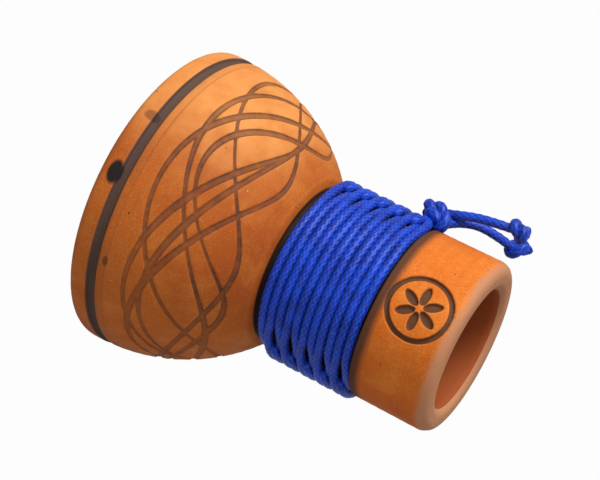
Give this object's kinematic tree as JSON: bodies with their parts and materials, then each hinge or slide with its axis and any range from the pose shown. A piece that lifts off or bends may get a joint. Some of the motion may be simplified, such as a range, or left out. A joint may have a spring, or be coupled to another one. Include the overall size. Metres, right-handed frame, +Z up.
{
  "type": "hookah bowl",
  "caption": "Fired-clay hookah bowl with a deep dish, smoke holes, a foil groove under the rim, a stem socket and a neck wound with knotted cord.",
  "frame": {"origin": "centre of the foot's resting ring, on the surface that the bowl stands on", "axes": "+Z up the bowl's axis towards the rim, +X towards the gathering knot, -Y towards the stamped front"},
  "size_m": [0.0804, 0.0804, 0.0903],
  "materials": {
    "terracotta": "unglazed fired clay, fine grain, smoked brown at the grooves and the worn foot edge",
    "waxed_cord": "round braided cord, waxed, soft sheen"
  },
  "bodies": {
    "root": {"clay_bowl": "terracotta", "cord_winding": "waxed_cord", "gathering_knot": "waxed_cord", "outer_tail": "waxed_cord", "outer_stopper_knot": "waxed_cord", "inner_tail": "waxed_cord", "inner_stopper_knot": "waxed_cord"}
  },
  "joints": []
}
